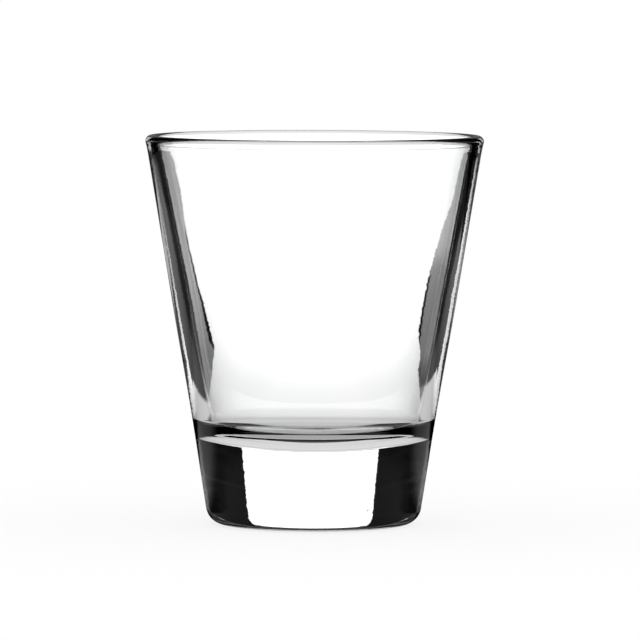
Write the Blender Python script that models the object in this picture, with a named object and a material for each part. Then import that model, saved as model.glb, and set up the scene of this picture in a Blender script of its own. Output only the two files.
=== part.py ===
"""A clear rocks glass: one pressing of soda-lime glass with a heavy base, in metres, +Z up.

The glass is a single solid of revolution about Z. It stands on z = 0 on a flat ring around a shallow
push-up. Its side flares as a straight cone with a slight sink above the heavy base, and ends in a
fire-polished, rounded lip. The inside is the plain taper of the press plunger, whose domed end leaves a
shallow dish as the floor, with a rounded corner all round it.
"""
import math

import bpy
import numpy as np

for thing in list(bpy.data.objects):
    bpy.data.objects.remove(thing, do_unlink=True)

# Outside of the glass
HEIGHT = 0.0950
RIM_RADIUS = 0.0413
FOOT_RADIUS = 0.0257
HEEL_RADIUS = 0.0045

# Sink of the side above the base, left as the thick glass shrinks
SINK_DEPTH = 0.00022
SINK_TOP = 0.0550

# Underside: a flat ring to stand on, around a shallow push-up
BEARING_WIDTH = 0.0042
PUSH_UP_DEPTH = 0.0008

# Inside: wall at the rim and at the floor, both measured level, and the thick floor, dished to a sphere
RIM_WALL = 0.0026
FLOOR_WALL = 0.0042
FLOOR_LEVEL = 0.0198
FLOOR_CURVE = 0.0900
FLOOR_FILLET = 0.0050

# Lip: a full round, a little fuller than the wall it closes
LIP_SWELL = 0.00012
LIP_WRAP = math.radians(25.0)
NECK_LENGTH = 0.0014

# Facets
TURN_STEPS = 72
WALL_STEPS = 9
HEEL_STEPS = 6
LIP_STEPS = 5
FILLET_STEPS = 6
FLOOR_STEPS = 5
PUSH_UP_STEPS = 4

# Colour and finish of the glass
GLASS_COLOUR = (0.96, 0.98, 0.98, 1.0)
GLASS_ROUGHNESS = 0.02
GLASS_IOR = 1.52

# The lip's round, and the two tapers that run up to it
lip_radius = RIM_WALL / 2 + LIP_SWELL
lip_r = RIM_RADIUS - lip_radius
lip_z = HEIGHT - lip_radius
side_top = RIM_RADIUS - LIP_SWELL
side_taper = (side_top - FOOT_RADIUS) / lip_z
side_angle = math.atan(side_taper)


def side_radius(z):
    """Outer radius at height z: the cone less the sink, a sine-squared hollow from z = 0 to SINK_TOP."""
    rise = np.clip(z / SINK_TOP, 0.0, 1.0)
    return FOOT_RADIUS + side_taper * z - SINK_DEPTH * np.sin(math.pi * rise) ** 2


inside_top = side_top - RIM_WALL
inside_foot = float(side_radius(FLOOR_LEVEL)) - FLOOR_WALL
inside_taper = (inside_top - inside_foot) / (lip_z - FLOOR_LEVEL)
inside_angle = math.atan(inside_taper)


def inside_radius(z):
    """Inner radius at height z: the straight taper of the plunger."""
    return inside_foot + inside_taper * (z - FLOOR_LEVEL)


def arc(centre_r, centre_z, radius, start, end, steps):
    """Points (r, z) along a circular arc, both ends included."""
    turn = np.linspace(start, end, steps + 1)
    return np.column_stack((centre_r + radius * np.cos(turn), centre_z + radius * np.sin(turn)))


def half_section():
    """Half section, from the floor's centre up the inside, over the lip and down to the underside's centre."""
    quarter = math.pi / 2

    # Floor corner: an arc that touches the dish and the plunger's taper; its centre is corner_rise above the
    # middle of the dish, and corner_foot is where the line of such centres meets the level of that middle
    corner_foot = inside_foot - FLOOR_FILLET / math.cos(inside_angle)
    reach = FLOOR_CURVE - corner_foot * inside_taper
    slack = corner_foot ** 2 + FLOOR_CURVE ** 2 - (FLOOR_CURVE - FLOOR_FILLET) ** 2
    corner_rise = slack / (reach + math.sqrt(reach ** 2 - slack * (1 + inside_taper ** 2)))
    corner_r = corner_foot + inside_taper * corner_rise
    dish_angle = math.atan2(corner_r, FLOOR_CURVE - corner_rise)
    corner = arc(corner_r, FLOOR_LEVEL + corner_rise, FLOOR_FILLET,
                 dish_angle - quarter, -inside_angle, FILLET_STEPS)

    # Dish: a shallow spherical floor from the axis to the corner
    dish = arc(0.0, FLOOR_LEVEL + FLOOR_CURVE, FLOOR_CURVE, -quarter, dish_angle - quarter, FLOOR_STEPS)[:-1]

    # Inner wall, from above the corner to the neck under the lip
    inner_z = np.linspace(corner[-1, 1], lip_z - NECK_LENGTH, WALL_STEPS + 1)[1:]
    inner_wall = np.column_stack((inside_radius(inner_z), inner_z))

    # Lip: from inside to the top, on to the widest point, and round it to the outer neck
    lip_inside = arc(lip_r, lip_z, lip_radius, math.pi - inside_angle + LIP_WRAP, quarter, LIP_STEPS)
    lip_outside = arc(lip_r, lip_z, lip_radius, quarter, 0.0, LIP_STEPS)[1:]
    lip_under = arc(lip_r, lip_z, lip_radius, 0.0, -side_angle - LIP_WRAP, LIP_STEPS // 2)[1:]
    lip = np.vstack((lip_inside, lip_outside, lip_under))

    # Heel: an arc that touches the side and the bearing ring
    heel_r = FOOT_RADIUS - HEEL_RADIUS * (1 - math.sin(side_angle)) / math.cos(side_angle)
    heel = arc(heel_r, HEEL_RADIUS, HEEL_RADIUS, -side_angle, -quarter, HEEL_STEPS)

    # Outer wall, from the neck under the lip down to the heel
    outer_z = np.linspace(lip_z - NECK_LENGTH, heel[0, 1], WALL_STEPS + 1)[:-1]
    outer_wall = np.column_stack((side_radius(outer_z), outer_z))

    # Push-up: a shallow spherical cap inside the bearing ring
    cap_edge = heel_r - BEARING_WIDTH
    cap_radius = (cap_edge ** 2 + PUSH_UP_DEPTH ** 2) / (2 * PUSH_UP_DEPTH)
    cap_r = np.linspace(cap_edge, 0.0, PUSH_UP_STEPS + 1)
    cap_z = np.sqrt(cap_radius ** 2 - cap_r ** 2) - (cap_radius - PUSH_UP_DEPTH)
    push_up = np.column_stack((cap_r, cap_z))

    return np.vstack((dish, corner, inner_wall, lip, outer_wall, heel, push_up))


# The glass itself: the half section turned about Z
section = half_section()
points = [(r, 0.0, z) for r, z in section]
edges = [(i, i + 1) for i in range(len(points) - 1)]
mesh = bpy.data.meshes.new("tumbler")
mesh.from_pydata(points, edges, [])
tumbler = bpy.data.objects.new("tumbler", mesh)
bpy.context.scene.collection.objects.link(tumbler)

turn = tumbler.modifiers.new("turn", "SCREW")
turn.axis = "Z"
turn.angle = 2 * math.pi
turn.steps = TURN_STEPS
turn.render_steps = TURN_STEPS
turn.use_merge_vertices = True
turn.merge_threshold = 0.00001
turn.use_smooth_shade = True

glass = bpy.data.materials.new("clear_glass")
glass.use_nodes = True
shader = glass.node_tree.nodes["Principled BSDF"]
shader.inputs["Base Color"].default_value = GLASS_COLOUR
shader.inputs["Roughness"].default_value = GLASS_ROUGHNESS
shader.inputs["Metallic"].default_value = 0.0
shader.inputs["IOR"].default_value = GLASS_IOR
shader.inputs["Transmission Weight"].default_value = 1.0
mesh.materials.append(glass)
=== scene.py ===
import math

import bpy
import numpy as np
from mathutils import Euler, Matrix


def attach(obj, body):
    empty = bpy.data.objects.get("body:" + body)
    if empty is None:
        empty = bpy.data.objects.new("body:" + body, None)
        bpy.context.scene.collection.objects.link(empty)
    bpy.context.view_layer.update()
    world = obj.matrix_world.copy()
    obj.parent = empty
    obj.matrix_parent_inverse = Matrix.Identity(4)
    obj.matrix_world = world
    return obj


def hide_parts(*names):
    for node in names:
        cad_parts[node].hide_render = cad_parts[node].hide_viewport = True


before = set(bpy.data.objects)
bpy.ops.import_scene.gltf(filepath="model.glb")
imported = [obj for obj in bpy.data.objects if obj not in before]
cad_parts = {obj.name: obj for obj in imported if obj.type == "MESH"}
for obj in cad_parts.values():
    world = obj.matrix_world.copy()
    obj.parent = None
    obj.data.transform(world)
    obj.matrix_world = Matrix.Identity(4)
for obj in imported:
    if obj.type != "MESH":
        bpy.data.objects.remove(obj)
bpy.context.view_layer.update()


# The tumbler: one pressing of clear soda-lime glass. The mould gives the flared side and the heavy base, the
# plunger gives the plain tapered inside, and a flame rounds the lip. It has no other piece and no joint.

# Outside of the glass, and the sink of its side where the thick base shrinks
HEIGHT = 0.0950
RIM_RADIUS = 0.0413
FOOT_RADIUS = 0.0257
HEEL_RADIUS = 0.0045
SINK_DEPTH = 0.00022
SINK_TOP = 0.0550

# Underside: a flat ring to stand on, around a shallow push-up
BEARING_WIDTH = 0.0042
PUSH_UP_DEPTH = 0.0008

# Inside: wall at the rim and at the floor, both measured level, and the dished floor with its rounded corner
RIM_WALL = 0.0026
FLOOR_WALL = 0.0042
FLOOR_LEVEL = 0.0198
FLOOR_CURVE = 0.0900
FLOOR_FILLET = 0.0050

# Lip: a full round, a little fuller than the wall, which runs into it over a soft neck
LIP_SWELL = 0.00012
LIP_WRAP = math.radians(8.0)
NECK_LENGTH = 0.0040
NECK_PULL = 0.8

# The plunger stood a hair off centre, and the drift fades out on the way up to the lip
PLUNGER_SHIFT = 0.0002
PLUNGER_FADE = 0.030

# Grid: steps round the axis, and points along each stretch of the half section
TURN_STEPS = 320
DISH_POINTS = 24
CORNER_POINTS = 30
INNER_POINTS = 36
NECK_POINTS = 8
LIP_POINTS = 36
OUTER_POINTS = 60
HEEL_POINTS = 26
RING_POINTS = 5
PUSH_UP_POINTS = 24

# Glass and the marks of its skin, with grains per metre along X, Y and Z
GLASS_INDEX = 1.52
GLASS_TINTS = ((0.35, (0.990, 0.996, 0.994, 1.0)), (0.65, (0.997, 0.999, 0.998, 1.0)))
CHILL_GRAIN = (90.0, 90.0, 1900.0)
CHILL_TILT_BASE = 0.05
CHILL_TILT_WALL = 0.012
CHILL_FADE = (FLOOR_LEVEL - 0.002, FLOOR_LEVEL + 0.006)
WAVE_GRAIN = (50.0, 50.0, 35.0)
WAVE_DETAIL = 1.0
WAVE_HEIGHT = 0.00002
SEED_GRAIN = 110.0
SEED_SIZE = 0.03
SEED_RARITY = 0.9
SEED_HEIGHT = 0.00003
HAZE_GRAIN = (40.0, 40.0, 40.0)
HAZE_FADE = (0.35, 0.7)
HAZE_LOW = 0.0
HAZE_HIGH = 0.03

# The lip's round, and the two tapers that run up to it
lip_radius = RIM_WALL / 2 + LIP_SWELL
lip_r = RIM_RADIUS - lip_radius
lip_z = HEIGHT - lip_radius
side_top = RIM_RADIUS - LIP_SWELL
side_taper = (side_top - FOOT_RADIUS) / lip_z
side_angle = math.atan(side_taper)


def side_radius(z):
    """Outer radius at height z: a cone less a shallow sine-squared sink above the base."""
    rise = np.clip(z / SINK_TOP, 0.0, 1.0)
    return FOOT_RADIUS + side_taper * z - SINK_DEPTH * np.sin(math.pi * rise) ** 2


inside_top = side_top - RIM_WALL
inside_foot = float(side_radius(FLOOR_LEVEL)) - FLOOR_WALL
inside_taper = (inside_top - inside_foot) / (lip_z - FLOOR_LEVEL)
inside_angle = math.atan(inside_taper)


def inside_radius(z):
    """Inner radius at height z: the straight taper of the plunger."""
    return inside_foot + inside_taper * (z - FLOOR_LEVEL)


def arc(centre_r, centre_z, radius, start, end, count):
    """Points (r, z) on a circular arc from one angle to another, both ends included."""
    turn = np.linspace(start, end, count)
    return np.column_stack((centre_r + radius * np.cos(turn), centre_z + radius * np.sin(turn)))


def bridge(start, leaving, end, arriving):
    """Points on the cubic between two points that leaves and arrives along given vectors, ends left out."""
    t = np.linspace(0.0, 1.0, NECK_POINTS + 2)[1:-1, None]
    return ((2 * t ** 3 - 3 * t ** 2 + 1) * start + (3 * t ** 2 - 2 * t ** 3) * end
            + (t ** 3 - 2 * t ** 2 + t) * leaving + (t ** 3 - t ** 2) * arriving)


def half_section():
    """Half section (r, z) from the floor's centre up the inside, over the lip and down to the underside's
    centre, and the drift of each point along X. The dish is an arc about a point on the axis, and the corner
    is an arc that touches the dish and the plunger's taper. The lip is an arc that a cubic joins to each wall,
    and the heel is an arc that touches the side and the ground. The push-up is its depth times
    (1 - (r / edge) squared) squared."""
    quarter = math.pi / 2

    # Inside: the corner's centre lies corner_rise above the middle of the dish, on the line of such centres
    corner_foot = inside_foot - FLOOR_FILLET / math.cos(inside_angle)
    drop = FLOOR_CURVE - corner_foot * inside_taper
    slack = corner_foot ** 2 + 2 * FLOOR_CURVE * FLOOR_FILLET - FLOOR_FILLET ** 2
    spread = 1 + inside_taper ** 2
    corner_rise = (drop - math.sqrt(drop ** 2 - spread * slack)) / spread
    corner_r = corner_foot + inside_taper * corner_rise
    dish_angle = math.atan2(corner_r, FLOOR_CURVE - corner_rise)
    dish = arc(0.0, FLOOR_LEVEL + FLOOR_CURVE, FLOOR_CURVE, -quarter, dish_angle - quarter, DISH_POINTS)[:-1]
    corner = arc(corner_r, FLOOR_LEVEL + corner_rise, FLOOR_FILLET,
                 dish_angle - quarter, -inside_angle, CORNER_POINTS)
    inner_z = np.linspace(corner[-1, 1], lip_z - NECK_LENGTH, INNER_POINTS)[1:]
    inner_wall = np.column_stack((inside_radius(inner_z), inner_z))

    # Outside: the wall down to the heel, the ring and the push-up
    heel_r = FOOT_RADIUS - HEEL_RADIUS * (1 - math.sin(side_angle)) / math.cos(side_angle)
    heel = arc(heel_r, HEEL_RADIUS, HEEL_RADIUS, -side_angle, -quarter, HEEL_POINTS)
    outer_z = np.linspace(lip_z - NECK_LENGTH, heel[0, 1], OUTER_POINTS)[:-1]
    outer_wall = np.column_stack((side_radius(outer_z), outer_z))
    cap_edge = heel_r - BEARING_WIDTH
    ring_r = np.linspace(heel_r, cap_edge, RING_POINTS)[1:-1]
    ring = np.column_stack((ring_r, np.zeros_like(ring_r)))
    cap_r = np.linspace(cap_edge, 0.0, PUSH_UP_POINTS)
    push_up = np.column_stack((cap_r, PUSH_UP_DEPTH * (1 - (cap_r / cap_edge) ** 2) ** 2))

    # Lip, and the neck on each side of it
    lip = arc(lip_r, lip_z, lip_radius, math.pi - inside_angle + LIP_WRAP, -side_angle - LIP_WRAP, LIP_POINTS)
    pull = NECK_LENGTH * NECK_PULL
    up_inside = pull * np.array([math.sin(inside_angle), math.cos(inside_angle)])
    down_side = pull * np.array([-math.sin(side_angle), -math.cos(side_angle)])
    into_lip = pull * (lip[1] - lip[0]) / np.linalg.norm(lip[1] - lip[0])
    off_lip = pull * (lip[-1] - lip[-2]) / np.linalg.norm(lip[-1] - lip[-2])
    neck_in = bridge(inner_wall[-1], up_inside, lip[0], into_lip)
    neck_out = bridge(lip[-1], off_lip, outer_wall[0], down_side)

    inside = np.vstack((dish, corner, inner_wall, neck_in))
    outside = np.vstack((lip, neck_out, outer_wall, heel, ring, push_up))
    drift = PLUNGER_SHIFT * np.clip((lip_z - inside[:, 1]) / PLUNGER_FADE, 0.0, 1.0)
    return np.vstack((inside, outside)), np.concatenate((drift, np.zeros(len(outside))))


def turned(name, section, drift, steps):
    """A closed solid of revolution: ring k of the grid is section point k turned about Z and moved along X by
    drift k, and the two end points on the axis are single poles."""
    turn = np.linspace(0.0, 2 * math.pi, steps, endpoint=False)
    rings = section[1:-1]
    grid = np.stack((drift[1:-1, None] + rings[:, :1] * np.cos(turn), rings[:, :1] * np.sin(turn),
                     np.repeat(rings[:, 1:], steps, axis=1)), axis=-1)
    first_pole = [drift[0], 0.0, section[0, 1]]
    last_pole = [drift[-1], 0.0, section[-1, 1]]
    verts = np.vstack((first_pole, grid.reshape(-1, 3), last_pole))
    index = 1 + np.arange(len(rings) * steps).reshape(len(rings), steps)
    after = np.roll(index, -1, axis=1)
    quads = np.stack((index[1:], after[1:], after[:-1], index[:-1]), axis=-1).reshape(-1, 4)
    start_fan = np.stack((np.zeros(steps, int), index[0], after[0]), axis=-1)
    end_fan = np.stack((np.full(steps, len(verts) - 1), after[-1], index[-1]), axis=-1)
    mesh = bpy.data.meshes.new(name)
    mesh.from_pydata(verts.tolist(), [], start_fan.tolist() + quads.tolist() + end_fan.tolist())
    mesh.shade_smooth()
    piece = bpy.data.objects.new(name, mesh)
    bpy.context.scene.collection.objects.link(piece)
    return piece


tumbler = turned("pressed_tumbler", *half_section(), TURN_STEPS)


def node(tree, kind, **values):
    """Adds a node and sets its plain properties."""
    made = tree.nodes.new(kind)
    for name, value in values.items():
        setattr(made, name, value)
    return made


def feed(tree, value, socket):
    """Links a socket to an input, or sets a plain value on it."""
    if isinstance(value, bpy.types.NodeSocket):
        tree.links.new(value, socket)
    else:
        socket.default_value = value


def maths(tree, operation, first, second=0.0):
    """A Math node over two numbers, each a socket or a plain number."""
    made = node(tree, "ShaderNodeMath", operation=operation)
    feed(tree, first, made.inputs[0])
    feed(tree, second, made.inputs[1])
    return made.outputs[0]


def times(tree, *factors):
    """The product of several numbers, each a socket or a plain number."""
    product = factors[0]
    for factor in factors[1:]:
        product = maths(tree, "MULTIPLY", product, factor)
    return product


def vectors(tree, operation, first, second=(0.0, 0.0, 0.0)):
    """A Vector Math node over two vectors, or over a vector and its scale."""
    made = node(tree, "ShaderNodeVectorMath", operation=operation)
    feed(tree, first, made.inputs[0])
    feed(tree, second, made.inputs["Scale" if operation == "SCALE" else 1])
    return made.outputs["Value" if operation == "LENGTH" else "Vector"]


def ease(tree, value, start, end, low=0.0, high=1.0):
    """A smooth step of a socket from low at start to high at end."""
    made = node(tree, "ShaderNodeMapRange", interpolation_type="SMOOTHSTEP")
    tree.links.new(value, made.inputs["Value"])
    for name, number in (("From Min", start), ("From Max", end), ("To Min", low), ("To Max", high)):
        made.inputs[name].default_value = number
    return made.outputs["Result"]


def noise(tree, where, grain, detail=2.0):
    """Cloudy noise from 0 to 1 with its own grain per metre along X, Y and Z."""
    made = node(tree, "ShaderNodeTexNoise")
    made.inputs["Scale"].default_value = 1.0
    made.inputs["Detail"].default_value = detail
    tree.links.new(vectors(tree, "MULTIPLY", where, grain), made.inputs["Vector"])
    return made.outputs["Fac"]


def axes(tree, vector):
    """The X, Y and Z of a vector, by name."""
    made = node(tree, "ShaderNodeSeparateXYZ")
    tree.links.new(vector, made.inputs[0])
    return made.outputs


glass = bpy.data.materials.new("clear_pressed_glass")
glass.use_nodes = True
tree = glass.node_tree
shader = tree.nodes["Principled BSDF"]
shader.inputs["IOR"].default_value = GLASS_INDEX
shader.inputs["Metallic"].default_value = 0.0
shader.inputs["Transmission Weight"].default_value = 1.0
spot = node(tree, "ShaderNodeTexCoord").outputs["Object"]

# Chill marks: fine level lines that the mould leaves, each of which turns the surface a hair to one side
lines = maths(tree, "SUBTRACT", noise(tree, spot, CHILL_GRAIN), 0.5)
tilt = times(tree, lines, ease(tree, axes(tree, spot)["Z"], *CHILL_FADE, CHILL_TILT_BASE, CHILL_TILT_WALL))
sideways = vectors(tree, "NORMALIZE", vectors(tree, "CROSS_PRODUCT", (0.0, 0.0, 1.0), spot))
skin = node(tree, "ShaderNodeNewGeometry").outputs["Normal"]
marked = vectors(tree, "NORMALIZE", vectors(tree, "ADD", skin, vectors(tree, "SCALE", sideways, tilt)))

# Slow waves of the pressed skin, and a few seeds: tiny bubbles that lie at the surface
waves = times(tree, noise(tree, spot, WAVE_GRAIN, WAVE_DETAIL), WAVE_HEIGHT)
cells = node(tree, "ShaderNodeTexVoronoi")
cells.inputs["Scale"].default_value = SEED_GRAIN
tree.links.new(spot, cells.inputs["Vector"])
draw = node(tree, "ShaderNodeSeparateColor")
tree.links.new(cells.outputs["Color"], draw.inputs[0])
seeds = times(tree, ease(tree, cells.outputs["Distance"], SEED_SIZE, SEED_SIZE / 3),
              maths(tree, "GREATER_THAN", draw.outputs[0], SEED_RARITY), SEED_HEIGHT)
bump = node(tree, "ShaderNodeBump")
bump.inputs["Distance"].default_value = 1.0
tree.links.new(maths(tree, "ADD", waves, seeds), bump.inputs["Height"])
tree.links.new(marked, bump.inputs["Normal"])
tree.links.new(bump.outputs[0], shader.inputs["Normal"])

# Faint haze and tint that come and go over the skin
cloud = noise(tree, spot, HAZE_GRAIN)
tree.links.new(ease(tree, cloud, *HAZE_FADE, HAZE_LOW, HAZE_HIGH), shader.inputs["Roughness"])
tint = node(tree, "ShaderNodeValToRGB")
tree.links.new(cloud, tint.inputs[0])
for band, (place, colour) in zip(tint.color_ramp.elements, GLASS_TINTS):
    band.position = place
    band.color = colour
tree.links.new(tint.outputs[0], shader.inputs["Base Color"])
tumbler.data.materials.append(glass)
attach(tumbler, "root")
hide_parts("tumbler")


# The floor: a pale sheet. The camera sees it plain and white with the shadow on it. What the glass bends or
# mirrors of it is painted light and shade in its glow, fitted to the photograph: a painted polish that is
# bright on a runner and mat, painted dark beside them as if mirroring a dark room, and plain again from other
# directions.

FLOOR_HALF = 5.0
FLOOR_DROP = 0.0001
FLOOR_COLOUR = (0.9, 0.9, 0.9, 1.0)
SHADOW_SHARE = 0.2

# Angles over the floor: where its painted polish sets in, where it is seen from above, and where it looks
# plain again
PAINTED_POLISH_ANGLES = (16.2, 14.6)
ABOVE_ANGLES = (24.0, 30.0)
PLAIN_ANGLES = (11.0, 12.5)
PLAIN_LEVEL = 0.92

# Painted bright runner and mat: left edge, right edge, reach behind the glass, and softness of the edges
RUNNER = (-0.1035, 0.0975, 0.305, 0.002)
MAT = (-0.1145, 0.1315, 0.190, 0.003)

# Levels are (place, grey) stops. Fades are start and end, with the level at each where it isn't 0 and 1.
# Floor from above, by the distance from the axis: painted shadow, darkest close round the foot, and painted
# shade to the sides and further out for rays mirrored inside the glass
NEAR_REACH = 0.2
CLOSE_LEVELS = ((0.0, 0.6), (0.012, 0.4), (0.026, 0.42), (0.034, 0.72), (0.050, 0.72), (0.085, 0.52),
                (0.100, 0.72), (0.120, 0.92), (0.200, 0.92))
CLOSE_FADE = (0.120, 0.160, 1.0, 0.12)
CLOSE_SIDE_FADE = (0.030, 0.080, 1.0, 0.05)
MIDDLE_LEVELS = ((0.0, 0.75), (0.050, 0.75), (0.078, 0.82), (0.095, 0.92), (0.200, 0.92))
MIDDLE_SIDE_FADE = (0.055, 0.085, 1.0, 0.05)
# Painted dark: the share of the floor's glow left to rays reflected off the glass's skin, and to rays mirrored
# twice or more
REFLECTED_SHARE = 0.12
STRAY_SHARE = 0.05

# Painted polish as rays straight through the glass meet it: painted bright runner, aisle behind it, and
# painted dark beside them
RUNNER_REACH = 0.35
RUNNER_LEVELS = ((0.0, 0.9), (0.09, 0.92), (0.15, 0.97), (0.20, 1.03), (0.26, 1.12), (0.31, 1.13))
RUNNER_SIDE_FADE = (0.045, 0.085, 1.0, 0.9)
AISLE_SLOPE = 0.32
AISLE_EDGE = (0.071, 0.061)
FAR_SLANT = 3.1
FAR_REACH = 1.6
FAR_LEFT_LEVELS = ((0.0, 0.26), (0.56, 0.26), (0.69, 0.24), (0.76, 0.33), (0.83, 0.42), (0.965, 0.58),
                   (1.09, 0.62), (1.6, 0.62))
FAR_RIGHT_LEVELS = ((0.0, 0.06), (0.56, 0.06), (0.62, 0.12), (0.68, 0.24), (0.75, 0.24), (0.83, 0.28),
                    (0.97, 0.37), (1.05, 0.48), (1.12, 0.62), (1.24, 0.72), (1.6, 0.72))
FAR_HALVES = (-0.01, 0.01)
FAR_EDGE_RISE = (0.022, 0.058, 1.0, 1.7)
DARK_LEVEL = 0.03
PLAIN_NEAR = (0.17, 0.12)
PLAIN_SLOPE = (0.84, 0.96)

# Painted polish as rays mirrored once inside the glass meet it: a painted lit strip, and painted shade beside
# it
STRIP_SHIFT = 0.007
STRIP_EDGE = (0.053, 0.043)
STRIP_SLANT = 0.8
STRIP_REACH = 1.0
STRIP_LIFT = 1.7
STRIP_LEVELS = ((0.0, 0.8), (0.25, 0.82), (0.30, 0.97), (0.38, 0.97), (0.44, 0.76), (0.50, 0.53),
                (0.60, 0.39), (0.70, 0.26), (0.80, 0.15), (0.90, 0.06))
STRIP_NEAR_FADE = (0.14, 0.20, 0.5, 1.0)
STRIP_FAR_FADE = (0.40, 0.30)
STRIP_SLOPE_FADE = (0.19, 0.31)
SHADE_FADE = (0.10, 0.40, 0.04, 0.2)
SHADE_SIDE_FADE = (0.230, 0.255, 1.0, 0.3)
SHADE_SLOPE = 0.39
SHADE_EDGE = (0.098, 0.112, 1.0, 0.25)
FRONT_FADE = (0.04, -0.02)
FRONT_LEVEL = 0.5

# Painted polish as the outer skin of the glass reflects it: a painted lit patch far behind, and a painted pale
# one close beside
GLANCE_INSET = 0.033
GLANCE_START = (0.44, 0.53)
GLANCE_SLOPE = (0.51, 0.43)
GLANCE_SLANT = 0.75
GLANCE_END = (1.04, 1.00)
GLANCE_HALVES = (-0.05, 0.05, 0.8, 0.35)
BESIDE_START = (0.005, 0.040, 0.0, 0.28)
BESIDE_END = (0.10, 0.14, 1.0, 0.0)


def greys(tree, value, reach, stops):
    """A ColorRamp over 0 to reach with (place, grey) stops in rising order."""
    ramp = node(tree, "ShaderNodeValToRGB")
    tree.links.new(maths(tree, "DIVIDE", value, reach), ramp.inputs[0])
    bands = ramp.color_ramp.elements
    for place, _ in stops[2:]:
        bands.new(place / reach)
    for band, (place, grey) in zip(bands, stops):
        band.position = place / reach
        band.color = (grey, grey, grey, 1.0)
    return ramp.outputs[0]


def mixed(tree, share, first, second):
    """A Mix node over two numbers, each a socket or a plain number."""
    made = node(tree, "ShaderNodeMix")
    tree.links.new(share, made.inputs[0])
    feed(tree, first, made.inputs[2])
    feed(tree, second, made.inputs[3])
    return made.outputs[0]


def blend(tree, share, first, second):
    """A Mix Shader whose share is a socket or a plain number."""
    made = node(tree, "ShaderNodeMixShader")
    feed(tree, share, made.inputs[0])
    tree.links.new(first.outputs[0], made.inputs[1])
    tree.links.new(second.outputs[0], made.inputs[2])
    return made


def mirrored_rays(tree, path, count):
    """1 for rays that were mirrored at least so many times, else 0."""
    return maths(tree, "GREATER_THAN", path["Glossy Depth"], count - 0.5)


def tilted(tree, facing, angles):
    """A smooth step over the floor's facing from 0 at the first angle over the floor to 1 at the second."""
    start, end = (1 - math.sin(math.radians(angle)) for angle in angles)
    return ease(tree, facing, start, end)


def laid(tree, across, along, left, right, reach, soft):
    """1 on a strip of floor between two sides, out to its reach, with soft edges, else 0."""
    return times(tree, ease(tree, across, left - soft, left + soft),
                 ease(tree, across, right + soft, right - soft),
                 ease(tree, along, reach + 2 * soft, reach - 2 * soft))


def past_slope(tree, aside, along, slope):
    """How far a place lies outside a line that leaves the axis at a slope."""
    return maths(tree, "SUBTRACT", aside, times(tree, along, slope))


def sheet(name, corners, material):
    """A flat sheet, given as pairs of left and right corners in rising order."""
    rows = len(corners) // 2
    mesh = bpy.data.meshes.new(name)
    mesh.from_pydata(corners, [], [(2 * k, 2 * k + 1, 2 * k + 3, 2 * k + 2) for k in range(rows - 1)])
    mesh.materials.append(material)
    made = bpy.data.objects.new(name, mesh)
    bpy.context.scene.collection.objects.link(made)
    return made


paint = bpy.data.materials.new("pale_floor_painted_polish")
paint.use_nodes = True
tree = paint.node_tree
tree.nodes.clear()
path = node(tree, "ShaderNodeLightPath").outputs
reflected = path["Is Reflection Ray"]
mirrored = mirrored_rays(tree, path, 1)
stray = mirrored_rays(tree, path, 2)
stray_dim = mixed(tree, stray, 1.0, STRAY_SHARE)
facing = node(tree, "ShaderNodeLayerWeight").outputs["Facing"]
spot = node(tree, "ShaderNodeTexCoord").outputs["Object"]
away = vectors(tree, "LENGTH", spot)
across = axes(tree, spot)["X"]
along = axes(tree, spot)["Y"]
aside = maths(tree, "ABSOLUTE", across)
slope = maths(tree, "DIVIDE", aside, along)

# From above: the pale floor around the foot, with painted shadow close round it and painted shade to its sides
close_dim = times(tree, ease(tree, away, *CLOSE_FADE), ease(tree, aside, *CLOSE_SIDE_FADE))
close = times(tree, greys(tree, away, NEAR_REACH, CLOSE_LEVELS), mixed(tree, mirrored, 1.0, close_dim))
middle_dim = ease(tree, aside, *MIDDLE_SIDE_FADE)
middle = times(tree, greys(tree, away, NEAR_REACH, MIDDLE_LEVELS), mixed(tree, mirrored, 1.0, middle_dim))
above = times(tree, mixed(tree, tilted(tree, facing, ABOVE_ANGLES), middle, close),
              mixed(tree, reflected, 1.0, REFLECTED_SHARE), stray_dim)

# Straight through the glass: the painted bright runner, the aisle behind it and the painted dark beside them
side = past_slope(tree, aside, along, AISLE_SLOPE)
slant = maths(tree, "ADD", along, times(tree, aside, FAR_SLANT))
far_left = greys(tree, slant, FAR_REACH, FAR_LEFT_LEVELS)
far_right = greys(tree, slant, FAR_REACH, FAR_RIGHT_LEVELS)
far = times(tree, mixed(tree, ease(tree, across, *FAR_HALVES), far_left, far_right),
            ease(tree, side, *FAR_EDGE_RISE))
plain_floor = maths(tree, "MAXIMUM", ease(tree, along, *PLAIN_NEAR), tilted(tree, facing, PLAIN_ANGLES))
plain_floor = maths(tree, "MAXIMUM", plain_floor, ease(tree, slope, *PLAIN_SLOPE))
through = mixed(tree, ease(tree, side, *AISLE_EDGE), DARK_LEVEL, far)
through = mixed(tree, plain_floor, through, PLAIN_LEVEL)
runner = times(tree, greys(tree, along, RUNNER_REACH, RUNNER_LEVELS), ease(tree, aside, *RUNNER_SIDE_FADE))
through = mixed(tree, laid(tree, across, along, *RUNNER), through, runner)

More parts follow.
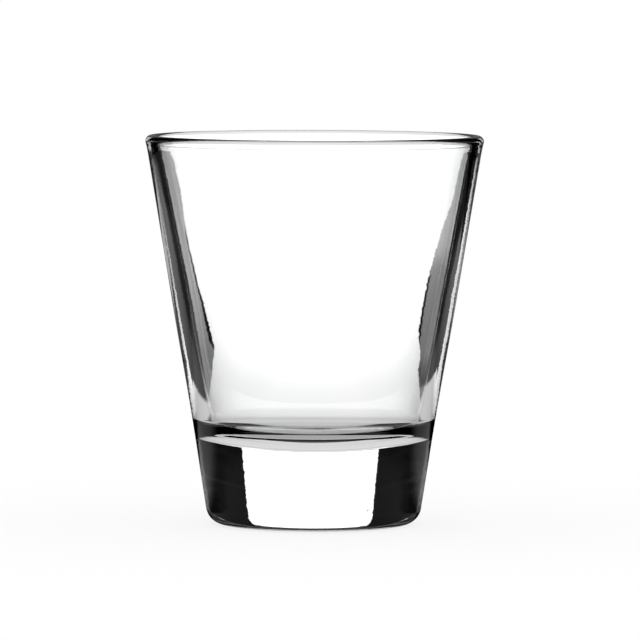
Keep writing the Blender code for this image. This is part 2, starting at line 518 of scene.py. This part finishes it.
# Mirrored inside the glass: the painted lit strip and the painted shade beside it
off_strip = maths(tree, "ABSOLUTE", maths(tree, "SUBTRACT", across, STRIP_SHIFT))
on_strip = ease(tree, past_slope(tree, off_strip, along, AISLE_SLOPE), *STRIP_EDGE)
strip_place = past_slope(tree, along, across, STRIP_SLANT)
strip_end = maths(tree, "MAXIMUM", ease(tree, along, *STRIP_FAR_FADE), ease(tree, slope, *STRIP_SLOPE_FADE))
strip = times(tree, greys(tree, strip_place, STRIP_REACH, STRIP_LEVELS), STRIP_LIFT,
              ease(tree, along, *STRIP_NEAR_FADE), strip_end)
shade = times(tree, ease(tree, along, *SHADE_FADE), ease(tree, aside, *SHADE_SIDE_FADE),
              ease(tree, past_slope(tree, aside, along, SHADE_SLOPE), *SHADE_EDGE))
bounced = mixed(tree, maths(tree, "MAXIMUM", on_strip, laid(tree, across, along, *MAT)), shade, strip)
bounced = times(tree, mixed(tree, ease(tree, along, *FRONT_FADE), bounced, FRONT_LEVEL), stray_dim)

# Painted reflection on the outer skin of the glass: the painted lit patch far behind and the pale one close
# beside
glance_slope = maths(tree, "DIVIDE", maths(tree, "SUBTRACT", aside, GLANCE_INSET), along)
glance_reach = maths(tree, "ADD", along, times(tree, aside, GLANCE_SLANT))
glance = times(tree, ease(tree, along, *GLANCE_START), ease(tree, glance_slope, *GLANCE_SLOPE),
               ease(tree, glance_reach, *GLANCE_END), ease(tree, across, *GLANCE_HALVES))
beside = times(tree, ease(tree, along, *BESIDE_START), ease(tree, along, *BESIDE_END))

painted_polish = mixed(tree, reflected, mixed(tree, mirrored, through, bounced), maths(tree, "ADD", glance, beside))
# Painted light and shade: the floor glows with all of the above for rays in the glass, as it has no gloss of
# its own
painted_floor_glow = node(tree, "ShaderNodeEmission")
tree.links.new(mixed(tree, tilted(tree, facing, PAINTED_POLISH_ANGLES), above, painted_polish), painted_floor_glow.inputs["Strength"])
white = node(tree, "ShaderNodeEmission")
body = node(tree, "ShaderNodeBsdfDiffuse")
body.inputs["Color"].default_value = FLOOR_COLOUR
seen = blend(tree, path["Is Camera Ray"], painted_floor_glow, blend(tree, SHADOW_SHARE, white, body))
seen = blend(tree, path["Is Diffuse Ray"], seen, body)
out = node(tree, "ShaderNodeOutputMaterial")
tree.links.new(seen.outputs[0], out.inputs["Surface"])
floor = sheet("floor", ((-FLOOR_HALF, -FLOOR_HALF, 0), (FLOOR_HALF, -FLOOR_HALF, 0),
                        (-FLOOR_HALF, FLOOR_HALF, 0), (FLOOR_HALF, FLOOR_HALF, 0)), paint)
floor.location.z = -FLOOR_DROP


# The cards: painted light and shade that show only in and through the glass, so they cast no shadow: a glowing
# white card behind the glass, two thin dark slats at its edges, and a dark flag further out at each side, dark
# sheets of painted shade.

# Painted glow at the floor and higher up, lower at the floor as painted shade at the white card's foot, and
# the share that is left to rays mirrored inside the glass
LIT_GLOW = (1.05, 1.5)
DARK_GLOW = (0.005, 0.005)
GLOW_RISE = 0.030
MIRRORED_SHARE = 0.1

# Distances behind the glass, and outlines as (height, left, right) rows
CARD_BACK = 0.300
CARD_ROWS = ((0.0, -0.1035, 0.0975), (0.003, -0.099, 0.0970), (0.006, -0.092, 0.0945),
             (0.0095, -0.0858, 0.0865), (0.0152, -0.0913, 0.0765), (0.0194, -0.0991, 0.0755),
             (0.027, -0.1037, 0.0755), (0.036, -0.1000, 0.0788), (0.0415, -0.0948, 0.0870),
             (0.0450, -0.0928, 0.0940), (0.0470, -0.0924, 0.1045), (0.058, -0.0923, 0.1066),
             (0.097, -0.098, 0.114), (0.200, -0.098, 0.114))
SLAT_BACK = 0.301
SLAT_LEFT_ROWS = ((0.0085, -0.0995, -0.060), (0.015, -0.1025, -0.060), (0.0194, -0.1065, -0.060),
                  (0.027, -0.1095, -0.060), (0.032, -0.1045, -0.060))
SLAT_RIGHT_ROWS = ((0.0, 0.060, 0.091), (0.008, 0.060, 0.0885), (0.0167, 0.060, 0.0812),
                   (0.0275, 0.060, 0.0800))
FLAG_LEFT_BACK = 0.825
FLAG_LEFT_ROWS = ((0.0, -2.2, -0.350), (0.8, -2.2, -0.350))
FLAG_RIGHT_BACK = 0.408
FLAG_RIGHT_ROWS = ((0.0, 0.192, 1.15), (0.4, 0.192, 1.15))


def card_paint(name, foot, top):
    """A card with a painted glow, painted light or painted shade, that runs from one strength at the floor to
    another at the height GLOW_RISE, of which rays mirrored inside the glass see only MIRRORED_SHARE.
    """
    made = bpy.data.materials.new(name)
    made.use_nodes = True
    tree = made.node_tree
    tree.nodes.clear()
    path = node(tree, "ShaderNodeLightPath").outputs
    height = axes(tree, node(tree, "ShaderNodeTexCoord").outputs["Object"])["Z"]
    glow = node(tree, "ShaderNodeEmission")
    share = mixed(tree, mirrored_rays(tree, path, 1), 1.0, MIRRORED_SHARE)
    tree.links.new(times(tree, ease(tree, height, 0.0, GLOW_RISE, foot, top), share), glow.inputs["Strength"])
    out = node(tree, "ShaderNodeOutputMaterial")
    tree.links.new(glow.outputs[0], out.inputs["Surface"])
    return made


def card(name, back, outline, material):
    """A standing card with (height, left, right) outline rows, which shows only in and through the glass."""
    made = sheet(name, [(x, back, z) for z, left, right in outline for x in (left, right)], material)
    made.visible_camera = False
    made.visible_diffuse = False
    made.visible_shadow = False


# Painted light on the white card, painted shade on the slats and flags
lit = card_paint("painted_light_card", *LIT_GLOW)
dark = card_paint("painted_shade_card", *DARK_GLOW)
card("white_card", CARD_BACK, CARD_ROWS, lit)
card("slat_left", SLAT_BACK, SLAT_LEFT_ROWS, dark)
card("slat_right", SLAT_BACK, SLAT_RIGHT_ROWS, dark)
card("flag_left", FLAG_LEFT_BACK, FLAG_LEFT_ROWS, dark)
card("flag_right", FLAG_RIGHT_BACK, FLAG_RIGHT_ROWS, dark)


# The light: a plain white room that lights the floor softly from all round. What the glass shows of the room
# is a painted reflection: walls dark at both sides, under a dark ceiling that is a little paler overhead.

ROOM_WHITE = (1.0, 1.0, 1.0, 1.0)
ROOM_STRENGTH = 1.12

# Painted walls as the glass shows them, by their bearing from straight behind the glass, in degrees; heights
# are the rise of a ray of length 1; rays mirrored inside the glass see them dark from lower down, and rays
# mirrored twice or more see them dimmer still
WALL_LEVELS = ((0, 1.0), (60, 1.0), (62, 0.03), (72, 0.08), (80, 0.22), (100, 0.4), (130, 1.0), (180, 1.0))
WALL_TOP = (0.46, 0.54, 1.25, 0.05)
MIRRORED_WALL_TOP = (0.17, 0.25, 1.0, 0.05)
STRAY_WALL_SHARE = 0.1
OVERHEAD = (0.85, 0.95, 0.0, 0.15)

world = bpy.data.worlds.new("studio")
bpy.context.scene.world = world
world.use_nodes = True
tree = world.node_tree
tree.nodes.clear()
path = node(tree, "ShaderNodeLightPath").outputs
heading = axes(tree, node(tree, "ShaderNodeTexCoord").outputs["Generated"])
bearing = maths(tree, "ARCTAN2", maths(tree, "ABSOLUTE", heading["X"]), heading["Y"])
walls = greys(tree, bearing, math.pi, tuple((math.radians(angle), grey) for angle, grey in WALL_LEVELS))
top = mixed(tree, mirrored_rays(tree, path, 1), ease(tree, heading["Z"], *WALL_TOP),
            ease(tree, heading["Z"], *MIRRORED_WALL_TOP))
level = times(tree, walls, top, mixed(tree, mirrored_rays(tree, path, 2), 1.0, STRAY_WALL_SHARE))
level = maths(tree, "MAXIMUM", level, ease(tree, heading["Z"], *OVERHEAD))
in_glass = node(tree, "ShaderNodeBackground")
in_glass.inputs["Color"].default_value = ROOM_WHITE
tree.links.new(level, in_glass.inputs["Strength"])
backdrop = node(tree, "ShaderNodeBackground")
backdrop.inputs["Color"].default_value = ROOM_WHITE
soft = node(tree, "ShaderNodeBackground")
soft.inputs["Color"].default_value = ROOM_WHITE
soft.inputs["Strength"].default_value = ROOM_STRENGTH
seen = blend(tree, path["Is Diffuse Ray"], blend(tree, path["Is Camera Ray"], in_glass, backdrop), soft)
out = node(tree, "ShaderNodeOutputWorld")
tree.links.new(seen.outputs[0], out.inputs["Surface"])


# The camera, at the photograph's place: a long lens a little above the rim, tilted down and rolled a hair.

CAMERA_DISTANCE = 1.618
CAMERA_HEIGHT = 0.1481
CAMERA_SIDE = 0.00143
CAMERA_TILT = 3.475
CAMERA_ROLL = 0.17
FOCAL_PIXELS = 6633.0
IMAGE_SIDE = 640
SENSOR_WIDTH = 36.0
CLIP_END = 20.0

# Few turns of light in all, so that rays caught in the base end dark, but no further limit for glass
ALL_BOUNCES = 4
GLASS_BOUNCES = 24

camera_data = bpy.data.cameras.new("camera")
camera_data.sensor_width = SENSOR_WIDTH
camera_data.lens = SENSOR_WIDTH * FOCAL_PIXELS / IMAGE_SIDE
camera_data.clip_end = CLIP_END
camera = bpy.data.objects.new("camera", camera_data)
camera.location = (CAMERA_SIDE, -CAMERA_DISTANCE, CAMERA_HEIGHT)
camera.rotation_euler = (Euler((math.radians(90 - CAMERA_TILT), 0, 0)).to_matrix()
                         @ Euler((0, 0, math.radians(CAMERA_ROLL))).to_matrix()).to_euler()
scene = bpy.context.scene
scene.collection.objects.link(camera)
scene.camera = camera
scene.view_settings.view_transform = "Standard"
scene.cycles.max_bounces = ALL_BOUNCES
scene.cycles.glossy_bounces = GLASS_BOUNCES
scene.cycles.transmission_bounces = GLASS_BOUNCES
